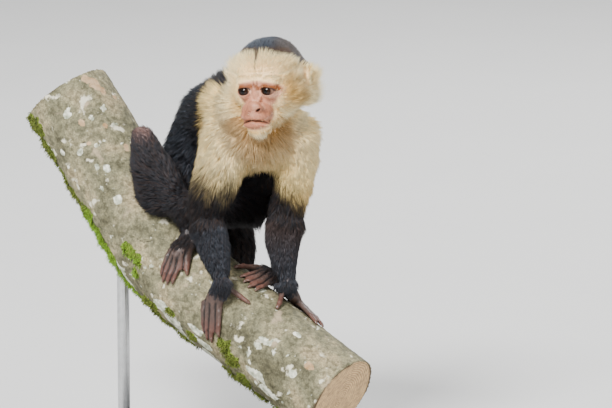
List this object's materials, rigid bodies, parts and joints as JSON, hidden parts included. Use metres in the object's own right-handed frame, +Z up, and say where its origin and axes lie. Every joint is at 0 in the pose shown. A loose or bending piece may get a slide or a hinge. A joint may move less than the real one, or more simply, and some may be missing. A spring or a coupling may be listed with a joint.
{
  "type": "white-faced capuchin monkey",
  "caption": "Life-size still model of a white-faced capuchin squatting on a cut length of branch, held by two rods above a round base.",
  "frame": {"origin": "middle of the underside of the round stand base, on the floor", "axes": "+Z up; the animal looks towards -Y, turned a little to its own right; its right side is towards -X"},
  "size_m": [0.3701, 0.33, 0.4733],
  "materials": {
    "black_coat": "animal fur: dense, sleek black coat",
    "cream_coat": "animal fur: soft cream to pale yellow coat",
    "bare_skin": "bare wrinkled skin of hands and feet",
    "ear_skin": "thin bare pink skin of the ears",
    "eye": "glossy dark brown glass eye",
    "bark": "rough bark with lichen and moss",
    "stand_paint": "wood disc in satin black paint",
    "stand_steel": "brushed steel rod"
  },
  "bodies": {
    "root": {"perch_branch": "bark", "eye_right": "eye", "eye_left": "eye", "ear_right": "ear_skin", "ear_left": "ear_skin", "head": "cream_coat", "hand_right": "bare_skin", "hand_left": "bare_skin", "foot_right": "bare_skin", "foot_left": "bare_skin", "upper_arm_right": "cream_coat", "upper_arm_left": "cream_coat", "forearm_right": "black_coat", "forearm_left": "black_coat", "thigh_right": "black_coat", "thigh_left": "black_coat", "shin_right": "black_coat", "shin_left": "black_coat", "neck": "cream_coat", "tail_1": "black_coat", "tail_2": "black_coat", "tail_3": "black_coat", "tail_4": "black_coat", "trunk": "black_coat", "stand_base": "stand_paint", "stand_rod_lower": "stand_steel", "stand_rod_upper": "stand_steel"}
  },
  "joints": []
}
